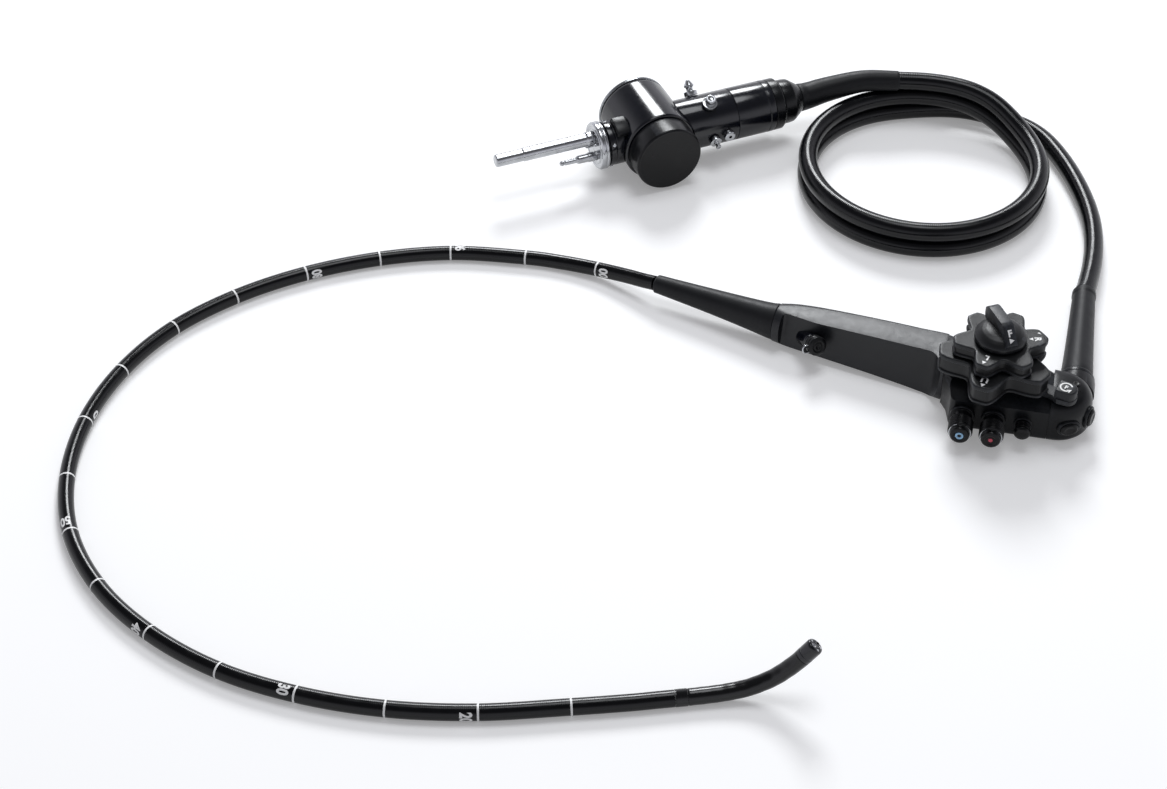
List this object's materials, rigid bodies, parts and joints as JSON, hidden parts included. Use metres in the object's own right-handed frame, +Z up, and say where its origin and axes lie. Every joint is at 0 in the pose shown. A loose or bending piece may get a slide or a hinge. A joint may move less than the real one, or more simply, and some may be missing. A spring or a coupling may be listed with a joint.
{
  "type": "flexible endoscope",
  "caption": "Flexible endoscope with angulation knobs, valves and switches on its head, a jointed tip on a long insertion tube, and a coiled cord with its connector.",
  "frame": {"origin": "foot of the knob axis on the flat underside of the control body's bottom cover", "axes": "+X along the grip towards the head's rounded end, +Y towards the side the cord leaves from, +Z up along the knob axis"},
  "size_m": [0.5818, 0.7007, 0.0785],
  "materials": {
    "tube_black": "glossy black polymer sheath with fine cross ribs",
    "boot_rubber": "matte dark grey rubber",
    "body_grey": "satin dark grey moulded plastic",
    "knob_grey": "matte grey moulded plastic",
    "shell_black": "semi-gloss black plastic",
    "button_rubber": "matte black rubber",
    "bone_steel": "plain stainless steel",
    "frame_aluminium": "plain cast aluminium",
    "fitting_chrome": "polished stainless steel",
    "lens_glass": "clear coated glass"
  },
  "bodies": {
    "instrument": {"insertion_tube": "tube_black", "insertion_boot": "boot_rubber", "bending_base": "bone_steel", "bending_rubber": "tube_black", "grip_shell": "body_grey", "head_shell": "shell_black", "bottom_cover": "shell_black", "end_cover": "shell_black", "chassis": "frame_aluminium", "air_water_cylinder": "shell_black", "air_water_spring": "bone_steel", "suction_cylinder": "shell_black", "suction_spring": "bone_steel", "biopsy_port": "bone_steel", "cord_collar": "shell_black", "cord_boot": "boot_rubber", "universal_cord_exit": "tube_black", "universal_cord_coil": "tube_black", "universal_cord_lead": "tube_black", "connector_boot": "boot_rubber", "neck_ring": "shell_black", "rear_sleeve": "shell_black", "front_sleeve": "shell_black", "cross_housing": "shell_black", "housing_cap": "shell_black", "contact_plug": "fitting_chrome", "front_barrel": "shell_black", "flange_ring": "fitting_chrome", "light_guide_tube": "fitting_chrome", "air_pin": "fitting_chrome", "label_clip": "shell_black", "suction_nipple": "fitting_chrome", "earth_stud": "fitting_chrome", "water_port": "fitting_chrome"},
    "ud_wheel": {"ud_knob": "knob_grey", "ud_shaft": "bone_steel"},
    "rl_wheel": {"rl_knob": "knob_grey", "rl_shaft": "bone_steel"},
    "ud_lock": {"ud_lock_lever": "knob_grey"},
    "rl_lock": {"rl_lock_knob": "knob_grey"},
    "air_water_valve": {"air_water_button": "button_rubber"},
    "suction_valve": {"suction_button": "button_rubber"},
    "key_1": {"switch_1": "button_rubber"},
    "key_2": {"switch_2": "button_rubber"},
    "key_3": {"switch_3": "button_rubber"},
    "key_4": {"switch_4": "button_rubber"},
    "port_lid": {"biopsy_cap": "button_rubber"},
    "ring_1": {"vertebra_1": "bone_steel"},
    "ring_2": {"vertebra_2": "bone_steel"},
    "ring_3": {"vertebra_3": "bone_steel"},
    "ring_4": {"vertebra_4": "bone_steel"},
    "ring_5": {"vertebra_5": "bone_steel"},
    "ring_6": {"vertebra_6": "bone_steel"},
    "ring_7": {"vertebra_7": "bone_steel"},
    "ring_8": {"vertebra_8": "bone_steel"},
    "tip": {"tip_body": "shell_black", "objective_lens": "lens_glass", "light_lens_left": "lens_glass", "light_lens_right": "lens_glass", "water_nozzle": "bone_steel"}
  },
  "joints": [
    {"name": "ud_knob_turn", "type": "hinge", "parent": "instrument", "child": "ud_wheel", "pos_m": [0, 0, 0.044], "axis": [0, 0, 1], "range_deg": [-140, 165]},
    {"name": "rl_knob_turn", "type": "hinge", "parent": "instrument", "child": "rl_wheel", "pos_m": [0, 0, 0.0565], "axis": [0, 0, 1], "range_deg": [-100, 100]},
    {"name": "ud_lock_turn", "type": "hinge", "parent": "instrument", "child": "ud_lock", "pos_m": [0, 0, 0.0342], "axis": [0, 0, 1], "range_deg": [0, 80]},
    {"name": "rl_lock_turn", "type": "hinge", "parent": "instrument", "child": "rl_lock", "pos_m": [0, 0, 0.0665], "axis": [0, 0, 1], "range_deg": [0, 120]},
    {"name": "air_water_press", "type": "slide", "parent": "instrument", "child": "air_water_valve", "axis": [-0.2079, 0.9781, 0], "range_m": [0, 0.005], "stiffness_N_per_m": 300, "springref_m": -0.003, "deforming": ["air_water_spring"]},
    {"name": "suction_press", "type": "slide", "parent": "instrument", "child": "suction_valve", "axis": [-0.2079, 0.9781, 0], "range_m": [0, 0.005], "stiffness_N_per_m": 300, "springref_m": -0.003, "deforming": ["suction_spring"]},
    {"name": "switch_1_press", "type": "slide", "parent": "instrument", "child": "key_1", "axis": [-0.2079, 0.9781, 0], "range_m": [0, 0.001], "stiffness_N_per_m": 900, "springref_m": -0.001},
    {"name": "switch_2_press", "type": "slide", "parent": "instrument", "child": "key_2", "axis": [-0.5736, 0.8191, 0], "range_m": [0, 0.001], "stiffness_N_per_m": 900, "springref_m": -0.001},
    {"name": "switch_3_press", "type": "slide", "parent": "instrument", "child": "key_3", "axis": [-0.9817, 0.1902, 0], "range_m": [0, 0.001], "stiffness_N_per_m": 900, "springref_m": -0.001},
    {"name": "switch_4_press", "type": "slide", "parent": "instrument", "child": "key_4", "axis": [0, 0, -1], "range_m": [0, 0.001], "stiffness_N_per_m": 900, "springref_m": -0.001},
    {"name": "port_lid_turn", "type": "hinge", "parent": "instrument", "child": "port_lid", "pos_m": [-0.119, -0.0107, 0.0197], "axis": [0.2301, -0.2028, -0.9518], "range_deg": [0, 110]},
    {"name": "bend_1", "type": "hinge", "parent": "instrument", "child": "ring_1", "pos_m": [-0.07739, -0.29541, 0.005], "axis": [0.5225, -0.8526, 0], "range_deg": [-34, 40], "deforming": ["bending_rubber"]},
    {"name": "bend_2", "type": "hinge", "parent": "ring_1", "child": "ring_2", "pos_m": [-0.07091, -0.29144, 0.00527], "axis": [-0.0298, -0.0182, 0.9994], "range_deg": [-26, 26]},
    {"name": "bend_3", "type": "hinge", "parent": "ring_2", "child": "ring_3", "pos_m": [-0.06444, -0.28747, 0.00553], "axis": [0.5225, -0.8526, 0], "range_deg": [-31, 36.5]},
    {"name": "bend_4", "type": "hinge", "parent": "ring_3", "child": "ring_4", "pos_m": [-0.05804, -0.28355, 0.00672], "axis": [-0.1334, -0.0817, 0.9877], "range_deg": [-26, 26]},
    {"name": "bend_5", "type": "hinge", "parent": "ring_4", "child": "ring_5", "pos_m": [-0.05164, -0.27963, 0.00791], "axis": [0.5225, -0.8526, 0], "range_deg": [-24, 28.5]},
    {"name": "bend_6", "type": "hinge", "parent": "ring_5", "child": "ring_6", "pos_m": [-0.04576, -0.27603, 0.01112], "axis": [-0.3603, -0.2208, 0.9063], "range_deg": [-26, 26]},
    {"name": "bend_7", "type": "hinge", "parent": "ring_6", "child": "ring_7", "pos_m": [-0.03989, -0.27243, 0.01433], "axis": [0.5225, -0.8526, 0], "range_deg": [-23.5, 27.5]},
    {"name": "bend_8", "type": "hinge", "parent": "ring_7", "child": "ring_8", "pos_m": [-0.03508, -0.26948, 0.01942], "axis": [-0.5705, -0.3496, 0.7431], "range_deg": [-26, 26]},
    {"name": "bend_9", "type": "hinge", "parent": "ring_8", "child": "tip", "pos_m": [-0.03026, -0.26653, 0.0245], "axis": [0.5225, -0.8526, 0], "range_deg": [-29, 34]}
  ],
  "couplings": [
    {"joint": "bend_1", "follows": "ud_knob_turn", "ratio": 0.24},
    {"joint": "bend_3", "follows": "ud_knob_turn", "ratio": 0.22},
    {"joint": "bend_5", "follows": "ud_knob_turn", "ratio": 0.17},
    {"joint": "bend_7", "follows": "ud_knob_turn", "ratio": 0.165},
    {"joint": "bend_9", "follows": "ud_knob_turn", "ratio": 0.205},
    {"joint": "bend_2", "follows": "rl_knob_turn", "ratio": 0.25},
    {"joint": "bend_4", "follows": "rl_knob_turn", "ratio": 0.25},
    {"joint": "bend_6", "follows": "rl_knob_turn", "ratio": 0.25},
    {"joint": "bend_8", "follows": "rl_knob_turn", "ratio": 0.25}
  ]
}
